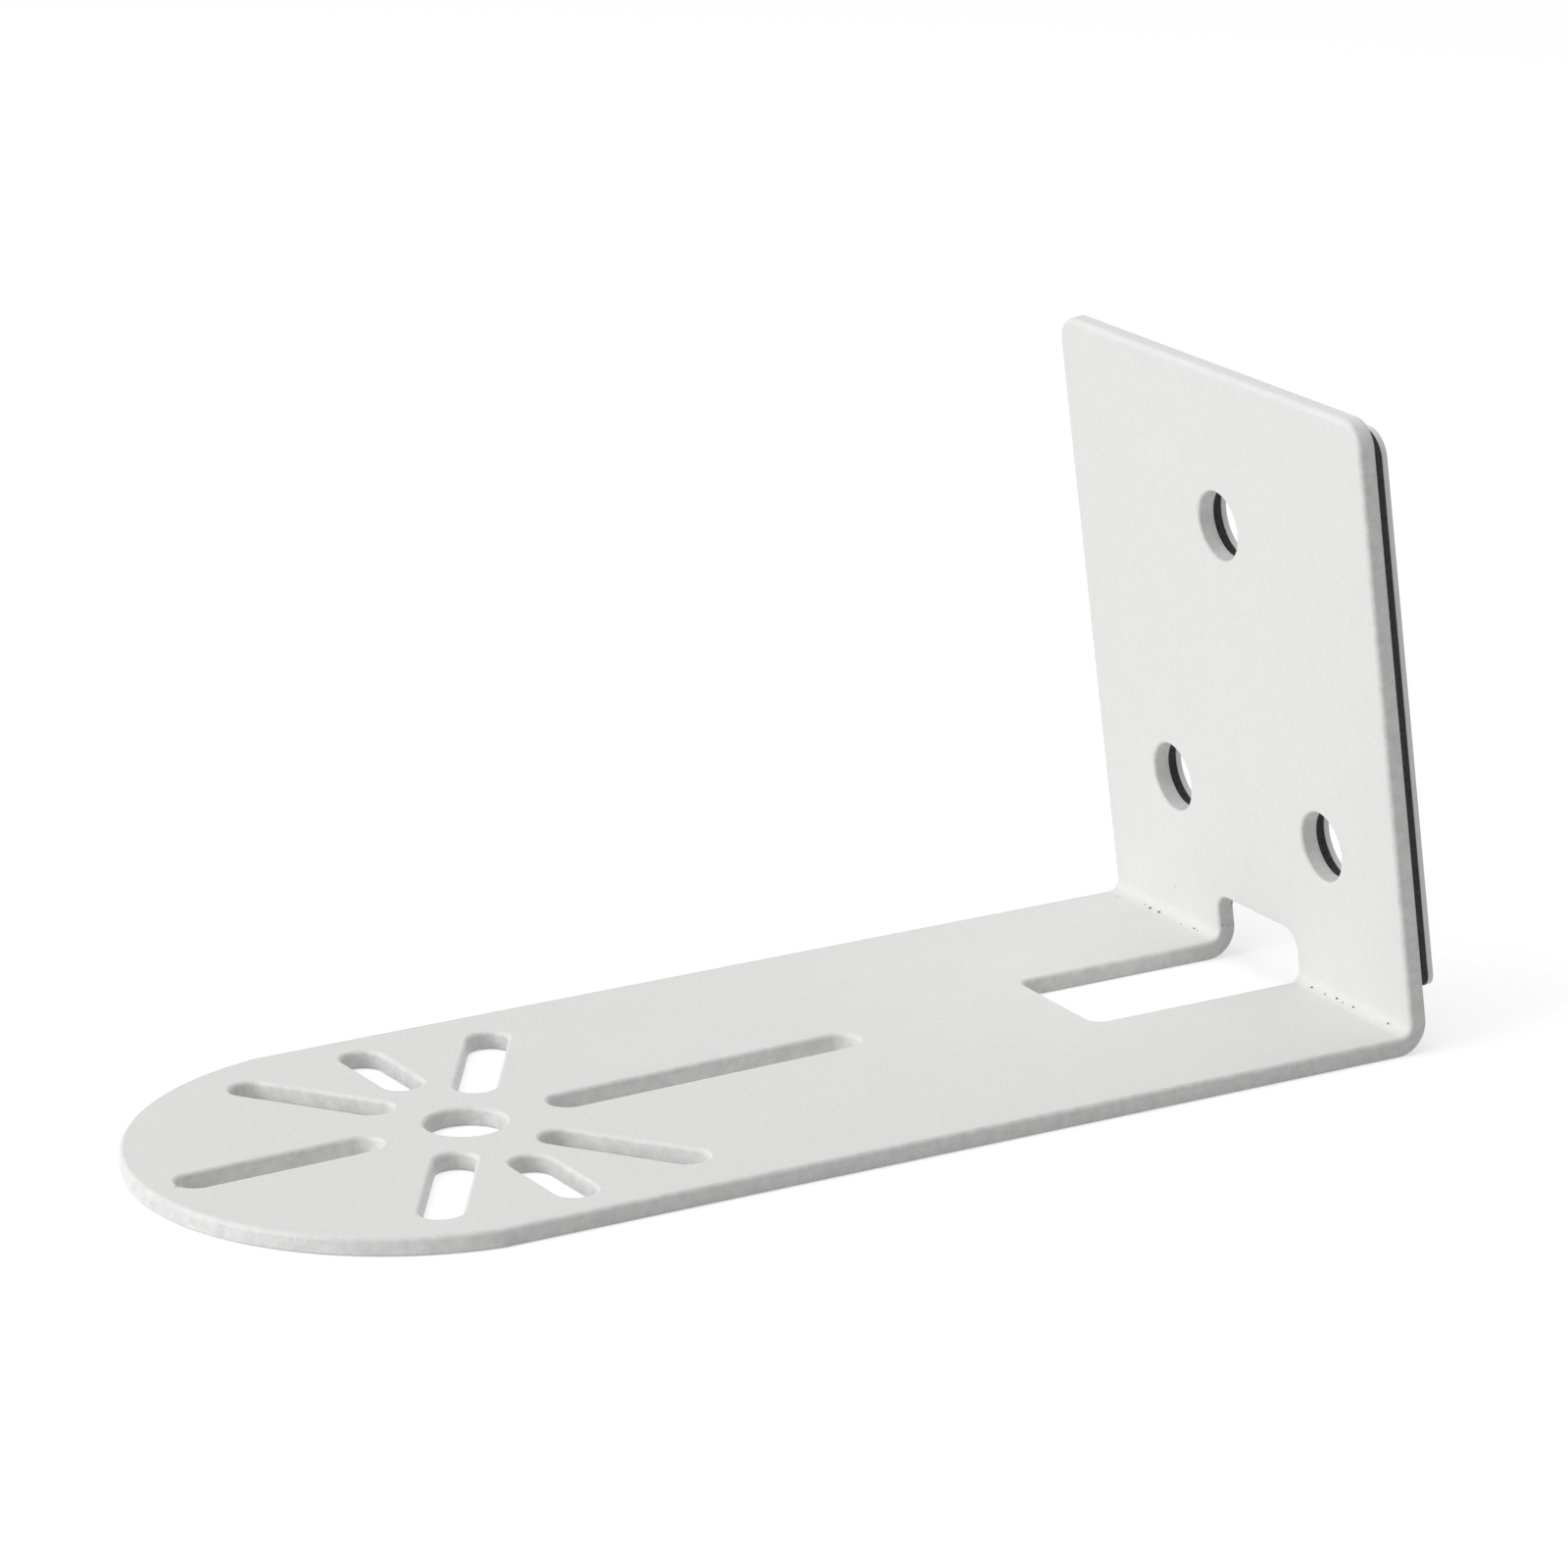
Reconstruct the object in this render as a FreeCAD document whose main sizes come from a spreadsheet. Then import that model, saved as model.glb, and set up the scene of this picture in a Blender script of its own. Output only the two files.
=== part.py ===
import FreeCAD, Part
import math
import os

import Sketcher

# Wall bracket for a small camera: one strip of sheet, folded once into an L.
# The long flange is the arm, which ends in a half-round tip and holds the camera on its star of
# slots. The short flange is the wall plate, with three screw holes and a foam pad on its back.
# +Z is up, out of the arm's top. +Y runs towards the wall, so the arm reaches towards -Y.
# X is across the strip. The origin is the middle of the camera hole, on the arm's underside.

os.makedirs("parts", exist_ok=True)
doc = FreeCAD.newDocument("CameraWallBracket")

# Driving dimensions, in millimetres and degrees. The bend line is where the arm's top face and
# the plate's front face would meet without the bend's radius. Rises run up the plate from it.
DRIVING = [
    ("strip_width", 47.0, "width of the strip"),
    ("sheet_gauge", 1.6, "thickness of the coated sheet"),
    ("hole_to_bend", 74.9, "middle of the camera hole to the bend line"),
    ("hole_to_tip", 28.1, "middle of the camera hole to the end of the tip"),
    ("tip_excess", 0.3, "how much the round tip's radius is over half the strip's width"),
    ("tip_shoulder", 2.0, "radius where the round tip meets the strip's sides"),
    ("plate_height", 52.7, "rise of the plate's top edge"),
    ("plate_lean", 5.7, "the plate's lean towards the tip, from square to the arm"),
    ("bend_inside", 1.0, "radius on the inside of the bend"),
    ("plate_corner", 2.3, "radius of the plate's top corners"),
    ("soft_edge", 0.35, "radius of the strip's soft edges"),
    ("soft_rim", 0.3, "bevel round every hole and slot"),
    ("camera_hole", 6.6, "diameter, clears a quarter inch camera screw"),
    ("slot_width", 3.4, "width of every slot in the star"),
    ("star_turn", 1.8, "turn of the whole star about the hole, seen from above"),
    ("slant_angle", 57.2, "slanting slots: angle from the line along the arm"),
    ("wall_slot_near", 7.7, "slot towards the wall: hole's middle to the near end"),
    ("wall_slot_far", 36.5, "slot towards the wall: hole's middle to the far end"),
    ("tip_slot_near", 7.6, "slot towards the tip: near end"),
    ("tip_slot_far", 25.5, "slot towards the tip: far end"),
    ("cross_slot_near", 9.5, "two slots straight across: near end"),
    ("cross_slot_far", 20.3, "two slots straight across: far end"),
    ("slant_slot_near", 7.0, "four slanting slots: near end"),
    ("slant_slot_far", 21.9, "four slanting slots: far end"),
    ("screw_hole", 6.0, "diameter of the wall screw holes"),
    ("upper_hole_rise", 38.9, "rise of the upper screw hole"),
    ("lower_hole_rise", 13.5, "rise of the two lower screw holes"),
    ("lower_hole_pitch", 23.7, "between the two lower screw holes"),
    ("cable_width", 12.6, "width of the cable slot"),
    ("cable_reach", 20.0, "bend line to the cable slot's end in the arm"),
    ("cable_rise", 4.3, "rise of the cable slot's top in the plate"),
    ("cable_corner_arm", 1.2, "radius of the cable slot's corners in the arm"),
    ("cable_corner_plate", 1.8, "radius of the cable slot's corners in the plate"),
    ("pad_thickness", 0.9, "thickness of the foam pad"),
    ("pad_inset", 0.55, "the pad's sides, in from the plate's"),
    ("pad_head_gap", 1.3, "the pad's upper edge, below the plate's"),
    ("pad_head_corner", 2.2, "radius of the pad's upper corners"),
    ("pad_foot_rise", 3.4, "rise of the pad's lower edge"),
    ("pad_foot_corner", 1.2, "radius of the pad's lower corners"),
    ("pad_hole_margin", 0.3, "the pad's holes stand back from the screw holes by this"),
    ("liner_thickness", 0.5, "thickness of the release liner"),
    ("overrun", 5.0, "how far each cut runs past the sheet"),
]
sheet = doc.addObject("Spreadsheet::Sheet", "sizes")
for row, (alias, value, words) in enumerate(DRIVING, start=1):
    sheet.set(f"A{row}", alias)
    sheet.set(f"B{row}", str(value))
    sheet.set(f"C{row}", words)
    sheet.setAlias(f"B{row}", alias)
doc.recompute()


def size_of(expression):
    # An expression of the sheet's sizes, as a number.
    return float(sheet.evalExpression(expression))


gauge = size_of("sizes.sheet_gauge")
half_width = size_of("sizes.strip_width / 2")
bend_line_y = size_of("sizes.hole_to_bend")
lean = math.radians(size_of("sizes.plate_lean"))
clear_through = "2 * (sizes.sheet_gauge + sizes.overrun)"
touching = 1e-3


def on_plate(rise, depth):
    # The y and z of a point up the plate, depth behind its front face.
    y = bend_line_y - rise * math.sin(lean) + depth * math.cos(lean)
    z = gauge + rise * math.cos(lean) + depth * math.sin(lean)
    return y, z


def add_body(label):
    body = doc.addObject("PartDesign::Body", label)
    body.Label = label
    body.Placement = FreeCAD.Placement()
    return body


def add_sketch(body, role, name, turn_axis=None, turn=None, base=None):
    # A sketch on one of the body's own planes, turned about turn_axis and shifted by base,
    # both in that plane's own directions. turn and base are expressions of the sheet's sizes.
    plane = next(item for item in body.Origin.OriginFeatures if item.Role == role)
    sketch = body.newObject("Sketcher::SketchObject", name)
    sketch.AttachmentSupport = [(plane, "")]
    sketch.MapMode = "FlatFace"
    if turn_axis:
        first_turn = FreeCAD.Rotation(FreeCAD.Vector(*turn_axis), 1.0)
        sketch.AttachmentOffset = FreeCAD.Placement(FreeCAD.Vector(), first_turn)
        sketch.setExpression(".AttachmentOffset.Rotation.Angle", turn)
    for axis, shift in (base or {}).items():
        sketch.setExpression(f".AttachmentOffset.Base.{axis}", shift)
    return sketch


def add_arm_sketch(body, name, turn=None):
    # A sketch in the arm's underside. Its x runs across the arm, unless it is turned.
    return add_sketch(body, "XY_Plane", name, (0, 0, 1) if turn else None, turn)


def add_plate_sketch(body, name, depth="0"):
    # A sketch on a plane parallel to the plate's front face, depth behind it. Its x runs
    # across and its y is the rise above the bend line. It faces the tip.
    along = f"-(sizes.hole_to_bend + ({depth}) * cos(sizes.plate_lean))"
    up = f"sizes.sheet_gauge + ({depth}) * sin(sizes.plate_lean)"
    return add_sketch(body, "XZ_Plane", name, (1, 0, 0), "sizes.plate_lean", {"y": up, "z": along})


def point(x, y):
    return FreeCAD.Vector(x, y, 0)


def line(x1, y1, x2, y2):
    return Part.LineSegment(point(x1, y1), point(x2, y2))


def arc(centre_x, centre_y, radius, start, end):
    circle = Part.Circle(point(centre_x, centre_y), FreeCAD.Vector(0, 0, 1), radius)
    return Part.ArcOfCircle(circle, math.radians(start), math.radians(end))


def add_chain(sketch, shapes):
    # Lines and arcs drawn end to end, numbered from 0. Each ends where the next begins.
    for shape in shapes:
        sketch.addGeometry(shape, False)


def constrain(sketch, kind, *where, to=None):
    # where lists the sketch's shapes by number, each followed by one of its points, and
    # "origin", "x axis" and "y axis". to is the expression that keeps a length or an angle.
    spots = {"start": (1,), "end": (2,), "centre": (3,),
             "origin": (-1, 1), "x axis": (-1,), "y axis": (-2,)}
    numbers = [n for word in where for n in spots.get(word, (word,))]
    if to is None:
        sketch.addConstraint(Sketcher.Constraint(kind, *numbers))
        return
    value = math.radians(size_of(to)) if kind == "Angle" else size_of(to)
    index = sketch.addConstraint(Sketcher.Constraint(kind, *numbers, value))
    sketch.setExpression(f"Constraints[{index}]", to)


def add_pad(body, name, sketch, length, midplane=False, reverse=False):
    pad = body.newObject("PartDesign::Pad", name)
    pad.Profile = sketch
    pad.setExpression("Length", length)
    pad.Midplane = midplane
    pad.Reversed = reverse
    doc.recompute()


def add_cut(body, name, sketch, length=clear_through):
    # A pocket to both sides of its sketch. It has to take something away.
    before = body.Shape.Volume
    cut = body.newObject("PartDesign::Pocket", name)
    cut.Profile = sketch
    cut.setExpression("Length", length)
    cut.Midplane = True
    doc.recompute()
    if body.Shape.Volume > before - touching:
        raise RuntimeError(f"{name} removes nothing")


def ease_edges(body, kind, name, wanted, amount):
    # Rounds ("Fillet") or bevels ("Chamfer") every edge of the body that wanted picks.
    shape = body.Shape
    names = [f"Edge{n}" for n, edge in enumerate(shape.Edges, start=1) if wanted(shape, edge)]
    below = body.Tip
    eased = body.newObject(f"PartDesign::{kind}", name)
    eased.Base = (below, names)
    eased.setExpression("Radius" if kind == "Fillet" else "Size", amount)
    doc.recompute()


def runs_through(half, y, z):
    # Picks the edges that run through the sheet, half from its middle line, at this y and z.
    def wanted(shape, edge):
        middle = edge.BoundBox.Center
        beside = abs(abs(middle.x) - half) < touching
        near = math.hypot(middle.y - y, middle.z - z) < gauge / 4
        return beside and near and abs(edge.Length - gauge) < touching
    return wanted


def is_sharp(shape, edge):
    # Picks the edges where two faces meet at more than 30 degrees.
    faces = shape.ancestorsOfType(edge, Part.Face)
    middle = edge.valueAt((edge.FirstParameter + edge.LastParameter) / 2)
    normals = [face.normalAt(*face.Surface.parameter(middle)) for face in faces[:2]]
    return len(normals) == 2 and math.degrees(normals[0].getAngle(normals[1])) > 30


bracket = add_body("bracket")

# Side profile of the folded strip: along the underside, round the bend, up the plate's back and
# down its front to the arm's top
profile = add_sketch(bracket, "YZ_Plane", "side_profile")
underside, outer_bend, back_face, top_edge, front_face, inner_bend, arm_top, tip_edge = range(8)
inner_radius = size_of("sizes.bend_inside")
outer_radius = inner_radius + gauge
tip_y = -size_of("sizes.hole_to_tip")
bend_rise = inner_radius * math.tan((math.pi / 2 + lean) / 2)
bend_y = bend_line_y - bend_rise
bend_z = gauge + inner_radius
front_low = on_plate(bend_rise, 0)
back_low = on_plate(bend_rise, gauge)
front_top = on_plate(size_of("sizes.plate_height"), 0)
back_top = on_plate(size_of("sizes.plate_height"), gauge)
add_chain(profile, [
    line(tip_y, 0, bend_y, 0),
    arc(bend_y, bend_z, outer_radius, -90, math.degrees(lean)),
    line(*back_low, *back_top),
    line(*back_top, *front_top),
    line(*front_top, *front_low),
    arc(bend_y, bend_z, inner_radius, -90, math.degrees(lean)),
    line(bend_y, gauge, tip_y, gauge),
    line(tip_y, gauge, tip_y, 0),
])
bend_line = profile.addGeometry(Part.Point(point(bend_line_y, gauge)), True)
constrain(profile, "Tangent", underside, "end", outer_bend, "start")
constrain(profile, "Tangent", outer_bend, "end", back_face, "start")
constrain(profile, "Coincident", back_face, "end", top_edge, "start")
constrain(profile, "Coincident", top_edge, "end", front_face, "start")
constrain(profile, "Tangent", front_face, "end", inner_bend, "end")
constrain(profile, "Tangent", inner_bend, "start", arm_top, "start")
constrain(profile, "Coincident", arm_top, "end", tip_edge, "start")
constrain(profile, "Coincident", tip_edge, "end", underside, "start")
constrain(profile, "Coincident", inner_bend, "centre", outer_bend, "centre")
constrain(profile, "PointOnObject", underside, "start", "x axis")
constrain(profile, "Horizontal", underside)
constrain(profile, "Horizontal", arm_top)
constrain(profile, "Vertical", tip_edge)
constrain(profile, "Parallel", back_face, front_face)
constrain(profile, "Perpendicular", top_edge, front_face)
constrain(profile, "PointOnObject", bend_line, "start", front_face)
constrain(profile, "PointOnObject", bend_line, "start", arm_top)
constrain(profile, "DistanceY", underside, "start", tip_edge, "start", to="sizes.sheet_gauge")
constrain(profile, "DistanceX", underside, "start", "origin", to="sizes.hole_to_tip")
constrain(profile, "DistanceX", "origin", bend_line, "start", to="sizes.hole_to_bend")
constrain(profile, "Distance", bend_line, "start", front_face, "start", to="sizes.plate_height")
constrain(profile, "Radius", inner_bend, to="sizes.bend_inside")
constrain(profile, "Angle", front_face, "end", arm_top, "start", to="90 - sizes.plate_lean")
add_pad(bracket, "folded_strip", profile, "sizes.strip_width", midplane=True)

# Round tip: what lies outside its arc is cut away. The arc is a little wider than the strip, so
# it meets the sides at a shoulder.
tip_radius = half_width + size_of("sizes.tip_excess")
tip_centre_y = tip_y + tip_radius
shoulder_angle = math.degrees(math.acos(half_width / tip_radius))
shoulder_y = tip_centre_y - tip_radius * math.sin(math.radians(shoulder_angle))
tip_end_y = tip_y - size_of("sizes.overrun")
tip_outline = add_arm_sketch(bracket, "tip_outline")
round_end, right_side, end_side, left_side = range(4)
add_chain(tip_outline, [
    arc(0, tip_centre_y, tip_radius, 180 + shoulder_angle, 360 - shoulder_angle),
    line(half_width, shoulder_y, half_width, tip_end_y),
    line(half_width, tip_end_y, -half_width, tip_end_y),
    line(-half_width, tip_end_y, -half_width, shoulder_y),
])
constrain(tip_outline, "Coincident", round_end, "end", right_side, "start")
constrain(tip_outline, "Coincident", right_side, "end", end_side, "start")
constrain(tip_outline, "Coincident", end_side, "end", left_side, "start")
constrain(tip_outline, "Coincident", left_side, "end", round_end, "start")
constrain(tip_outline, "Vertical", right_side)
constrain(tip_outline, "Horizontal", end_side)
constrain(tip_outline, "Vertical", left_side)
constrain(tip_outline, "PointOnObject", round_end, "centre", "y axis")
constrain(tip_outline, "Radius", round_end, to="sizes.strip_width / 2 + sizes.tip_excess")
constrain(tip_outline, "Horizontal", round_end, "start", round_end, "end")
constrain(tip_outline, "DistanceX", round_end, "start", round_end, "end", to="sizes.strip_width")
constrain(tip_outline, "DistanceY", round_end, "centre", "origin",
          to="sizes.hole_to_tip - sizes.strip_width / 2 - sizes.tip_excess")
constrain(tip_outline, "DistanceY", right_side, "end", "origin",
          to="sizes.hole_to_tip + sizes.overrun")
add_cut(bracket, "round_tip", tip_outline)

# Round corners and soft edges all round the strip, where the coating rounds what was cut
plate_top = on_plate(size_of("sizes.plate_height"), gauge / 2)
ease_edges(bracket, "Fillet", "plate_corners",
           runs_through(half_width, *plate_top), "sizes.plate_corner")
ease_edges(bracket, "Fillet", "tip_shoulders",
           runs_through(half_width, shoulder_y, gauge / 2), "sizes.tip_shoulder")
ease_edges(bracket, "Fillet", "soft_edges", is_sharp, "sizes.soft_edge")


def add_box(sketch, width, low, high):
    # A box across the sketch's y axis, from low to high.
    half = size_of(width) / 2
    bottom, top = size_of(low), size_of(high)
    add_chain(sketch, [
        line(-half, bottom, half, bottom),
        line(half, bottom, half, top),
        line(half, top, -half, top),
        line(-half, top, -half, bottom),
    ])
    for side in range(4):
        constrain(sketch, "Coincident", side, "end", (side + 1) % 4, "start")
    constrain(sketch, "Vertical", 1)
    constrain(sketch, "Vertical", 3)
    constrain(sketch, "Horizontal", 2)
    constrain(sketch, "Symmetric", 0, "start", 0, "end", "y axis")
    constrain(sketch, "DistanceX", 0, "start", 0, "end", to=width)
    constrain(sketch, "DistanceY", 1, "start", 1, "end", to=f"{high} - ({low})")
    if bottom == 0:
        constrain(sketch, "PointOnObject", 1, "start", "x axis")
    else:
        constrain(sketch, "DistanceY", "origin", 1, "start", to=low)


# Cable slot. It is one slot in the flat strip, so it keeps its width through the bend. In the
# arm it is cut straight down, and in the plate square to the plate. Its corners are round.
cable_half = size_of("sizes.cable_width / 2")
cable_arm = add_arm_sketch(bracket, "cable_slot_in_arm_outline")
add_box(cable_arm, "sizes.cable_width", "sizes.hole_to_bend - sizes.cable_reach",
        "sizes.hole_to_bend + sizes.sheet_gauge + sizes.overrun")
add_cut(bracket, "cable_slot_in_arm", cable_arm,
        "2 * (sizes.sheet_gauge + (sizes.cable_rise - sizes.cable_corner_plate) / 2)")
cable_plate = add_plate_sketch(bracket, "cable_slot_in_plate_outline")
add_box(cable_plate, "sizes.cable_width", "0", "sizes.cable_rise")
add_cut(bracket, "cable_slot_in_plate", cable_plate)

cable_end_y = size_of("sizes.hole_to_bend - sizes.cable_reach")
cable_top = on_plate(size_of("sizes.cable_rise"), gauge / 2)
ease_edges(bracket, "Fillet", "cable_corners_in_arm",
           runs_through(cable_half, cable_end_y, gauge / 2), "sizes.cable_corner_arm")
ease_edges(bracket, "Fillet", "cable_corners_in_plate",
           runs_through(cable_half, *cable_top), "sizes.cable_corner_plate")


def add_hole(sketch, index, diameter, across="0", up="0"):
    # A round hole, the sketch's shape number index. across and up place its middle.
    x, y = size_of(across), size_of(up)
    circle = Part.Circle(point(x, y), FreeCAD.Vector(0, 0, 1), size_of(diameter) / 2)
    sketch.addGeometry(circle, False)
    if x == 0:
        constrain(sketch, "PointOnObject", index, "centre", "y axis")
    elif x > 0:
        constrain(sketch, "DistanceX", "origin", index, "centre", to=across)
    else:
        constrain(sketch, "DistanceX", index, "centre", "origin", to=f"-({across})")
    if y == 0:
        constrain(sketch, "PointOnObject", index, "centre", "x axis")
    else:
        constrain(sketch, "DistanceY", "origin", index, "centre", to=up)
    constrain(sketch, "Diameter", index, to=diameter)


def add_slot(sketch, width, near, far):
    # A slot with round ends along the sketch's x, from near to far.
    radius = size_of(width) / 2
    first = size_of(near) + radius
    last = size_of(far) - radius
    add_chain(sketch, [
        line(first, -radius, last, -radius),
        arc(last, 0, radius, -90, 90),
        line(last, radius, first, radius),
        arc(first, 0, radius, 90, 270),
    ])
    for side in range(4):
        constrain(sketch, "Tangent", side, "end", (side + 1) % 4, "start")
    constrain(sketch, "Horizontal", 0)
    constrain(sketch, "PointOnObject", 1, "centre", "x axis")
    constrain(sketch, "PointOnObject", 3, "centre", "x axis")
    constrain(sketch, "Radius", 1, to=f"{width} / 2")
    constrain(sketch, "DistanceX", "origin", 3, "centre", to=f"{near} + {width} / 2")
    constrain(sketch, "DistanceX", "origin", 1, "centre", to=f"{far} - {width} / 2")


# Camera hole, with a star of eight slots round it that lie on its radii. Each slot's turn is
# counted from +X, seen from above. The slots differ in length, so each has a sketch of its own.
hole_outline = add_arm_sketch(bracket, "camera_hole_outline")
add_hole(hole_outline, 0, "sizes.camera_hole")
add_cut(bracket, "camera_hole", hole_outline)
star = [
    ("right_slot", "cross_slot", "0"),
    ("wall_right_slot", "slant_slot", "90 - sizes.slant_angle"),
    ("wall_slot", "wall_slot", "90"),
    ("wall_left_slot", "slant_slot", "90 + sizes.slant_angle"),
    ("left_slot", "cross_slot", "180"),
    ("tip_left_slot", "slant_slot", "270 - sizes.slant_angle"),
    ("tip_slot", "tip_slot", "270"),
    ("tip_right_slot", "slant_slot", "270 + sizes.slant_angle"),
]
for name, kind, turn in star:
    outline = add_arm_sketch(bracket, f"{name}_outline", f"{turn} + sizes.star_turn")
    add_slot(outline, "sizes.slot_width", f"sizes.{kind}_near", f"sizes.{kind}_far")
    add_cut(bracket, name, outline)


def add_screw_holes(sketch, first, diameter):
    # The plate's three screw holes, the sketch's shapes from number first on.
    add_hole(sketch, first, diameter, up="sizes.upper_hole_rise")
    add_hole(sketch, first + 1, diameter, "sizes.lower_hole_pitch / 2", "sizes.lower_hole_rise")
    add_hole(sketch, first + 2, diameter, "-sizes.lower_hole_pitch / 2", "sizes.lower_hole_rise")


screw_outline = add_plate_sketch(bracket, "screw_holes_outline")
add_screw_holes(screw_outline, 0, "sizes.screw_hole")
add_cut(bracket, "screw_holes", screw_outline)

# Soft rims: the rims of the holes and slots are the only sharp edges left
ease_edges(bracket, "Chamfer", "soft_rims", is_sharp, "sizes.soft_rim")


def add_layer(label, depth, thickness):
    # A thin layer on the plate's back. depth is how far its near face lies behind the plate's
    # front face.
    layer = add_body(label)
    outline = add_plate_sketch(layer, f"{label}_outline", depth)
    half = size_of("sizes.strip_width / 2 - sizes.pad_inset")
    low = size_of("sizes.pad_foot_rise")
    high = size_of("sizes.plate_height - sizes.pad_head_gap")
    head_radius = size_of("sizes.pad_head_corner")
    foot_radius = size_of("sizes.pad_foot_corner")
    add_chain(outline, [
        line(half, low + foot_radius, half, high - head_radius),
        arc(half - head_radius, high - head_radius, head_radius, 0, 90),
        line(half - head_radius, high, head_radius - half, high),
        arc(head_radius - half, high - head_radius, head_radius, 90, 180),
        line(-half, high - head_radius, -half, low + foot_radius),
        arc(foot_radius - half, low + foot_radius, foot_radius, 180, 270),
        line(foot_radius - half, low, half - foot_radius, low),
        arc(half - foot_radius, low + foot_radius, foot_radius, 270, 360),
    ])
    for side in range(8):
        constrain(outline, "Tangent", side, "end", (side + 1) % 8, "start")
    constrain(outline, "Vertical", 0)
    constrain(outline, "Vertical", 4)
    constrain(outline, "Horizontal", 6)
    constrain(outline, "Equal", 1, 3)
    constrain(outline, "Equal", 5, 7)
    constrain(outline, "Symmetric", 2, "start", 2, "end", "y axis")
    constrain(outline, "Radius", 1, to="sizes.pad_head_corner")
    constrain(outline, "Radius", 5, to="sizes.pad_foot_corner")
    constrain(outline, "DistanceX", 4, "start", 0, "start",
              to="sizes.strip_width - 2 * sizes.pad_inset")
    constrain(outline, "DistanceY", "origin", 6, "start", to="sizes.pad_foot_rise")
    constrain(outline, "DistanceY", "origin", 2, "start",
              to="sizes.plate_height - sizes.pad_head_gap")
    add_screw_holes(outline, 8, "sizes.screw_hole + 2 * sizes.pad_hole_margin")
    add_pad(layer, f"{label}_layer", outline, thickness, reverse=True)
    return layer


# Foam mounting pad on the plate's back, and the liner that covers its adhesive
foam_pad = add_layer("foam_pad", "sizes.sheet_gauge", "sizes.pad_thickness")
release_liner = add_layer("release_liner", "sizes.sheet_gauge + sizes.pad_thickness",
                          "sizes.liner_thickness")

doc.recompute()
for item in doc.Objects:
    if "Invalid" in item.State or "Error" in item.State:
        raise RuntimeError(f"{item.Name} is {item.State}")
    if item.isDerivedFrom("Sketcher::SketchObject") and not item.FullyConstrained:
        raise RuntimeError(f"{item.Name} is not fully constrained")
pieces = [bracket, foam_pad, release_liner]
for piece in pieces:
    if piece.Shape.isNull() or not piece.Shape.isValid() or len(piece.Shape.Solids) != 1:
        raise RuntimeError(f"{piece.Label} is not one valid solid")
for piece in pieces:
    piece.Shape.exportStep(f"parts/{piece.Label}.step")
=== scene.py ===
import math

import bpy
import numpy as np
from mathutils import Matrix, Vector
from mathutils.geometry import delaunay_2d_cdt


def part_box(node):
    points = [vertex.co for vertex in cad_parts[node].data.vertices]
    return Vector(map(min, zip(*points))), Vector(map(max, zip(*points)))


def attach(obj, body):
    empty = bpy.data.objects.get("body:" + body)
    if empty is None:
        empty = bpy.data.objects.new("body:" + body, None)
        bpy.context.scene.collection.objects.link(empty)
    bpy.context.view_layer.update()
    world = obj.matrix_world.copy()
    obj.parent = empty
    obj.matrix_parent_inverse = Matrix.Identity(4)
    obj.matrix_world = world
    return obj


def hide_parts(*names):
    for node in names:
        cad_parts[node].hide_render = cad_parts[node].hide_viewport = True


# Camera wall bracket: the folded coated strip, its foam pad and the pad's liner.
# Shapes are drawn on the flat strip, in millimetres: x across, s along it from the camera hole,
# and a depth below the face that becomes the arm's top and the plate's front. Then it is folded.

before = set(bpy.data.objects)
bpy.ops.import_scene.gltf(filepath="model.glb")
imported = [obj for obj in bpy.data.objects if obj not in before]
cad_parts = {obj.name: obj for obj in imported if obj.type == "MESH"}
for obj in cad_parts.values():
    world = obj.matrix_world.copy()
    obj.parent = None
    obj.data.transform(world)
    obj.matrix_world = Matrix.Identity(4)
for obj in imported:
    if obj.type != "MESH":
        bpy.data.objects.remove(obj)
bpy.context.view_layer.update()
mm = 0.001
print("frame loaded")

strip = {
    "width": (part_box("bracket")[1][0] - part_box("bracket")[0][0]) / mm,
    "gauge": 1.6,
    "holeToBend": 74.9,  # to the line where the arm's top and the plate's front would meet
    "holeToTip": 28.1,
    "tipRadius": 23.8,
    "tipShoulder": 2.0,
    "plateHeight": 52.7,
    "plateCorner": 2.3,
    "lean": math.radians(5.7),  # past square, over the arm
    "bendInside": 1.0,
    "sideRound": 0.42,  # how much the coating rounds the near rim, and the far one
    "tipRound": 0.45,
    "headRound": 0.52,
    "backRound": 0.22,
    "tipBlend": 0.5,  # over this share of the tip's radius its rounding sets in
    "headBlend": 1.2,
    "headSmooth": 1.5,  # this far below the head its edge starts to get smooth
    "headUneven": 0.15,
    "step": 1.2,  # from point to point of the outline, along lines and round arcs
    "arcStep": 0.05,
    "pitch": 1.3,
}

# How finely all surfaces are divided
fineness = {
    "bendRows": 21,
    "rimRows": 7,
    "rowShare": 0.87,  # from row to row of a grid, as a share of its pitch
    "bendPitch": 0.8,
    "bendGap": 0.5,  # how far a grid's points stay from the bend and from the edges
    "edgeGap": 0.28,
    "rowGap": 0.3,  # this share of its step a loop's points stay from the bend's rows
    "endGap": 0.004,  # this share of a line the bend's rows stay from its ends
    "touching": 1e-6,  # closer points count as one
    "merging": 1e-7,
    "leastArea": 1e-9,
    "batch": 1500,  # points worked on at once
}

halfWidth = strip["width"] / 2
fold = math.pi / 2 + strip["lean"]
bendRise = strip["bendInside"] * math.tan(fold / 2)
bendStart = strip["holeToBend"] - bendRise
bendLength = fold * (strip["bendInside"] + strip["gauge"] / 2)
bendEnd = bendStart + bendLength
bendRows = np.linspace(bendStart, bendEnd, fineness["bendRows"])


def riseToStrip(rise):
    # The end of the bend, plus the rise, less what the bend takes of it.
    return bendEnd + rise - bendRise


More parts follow.
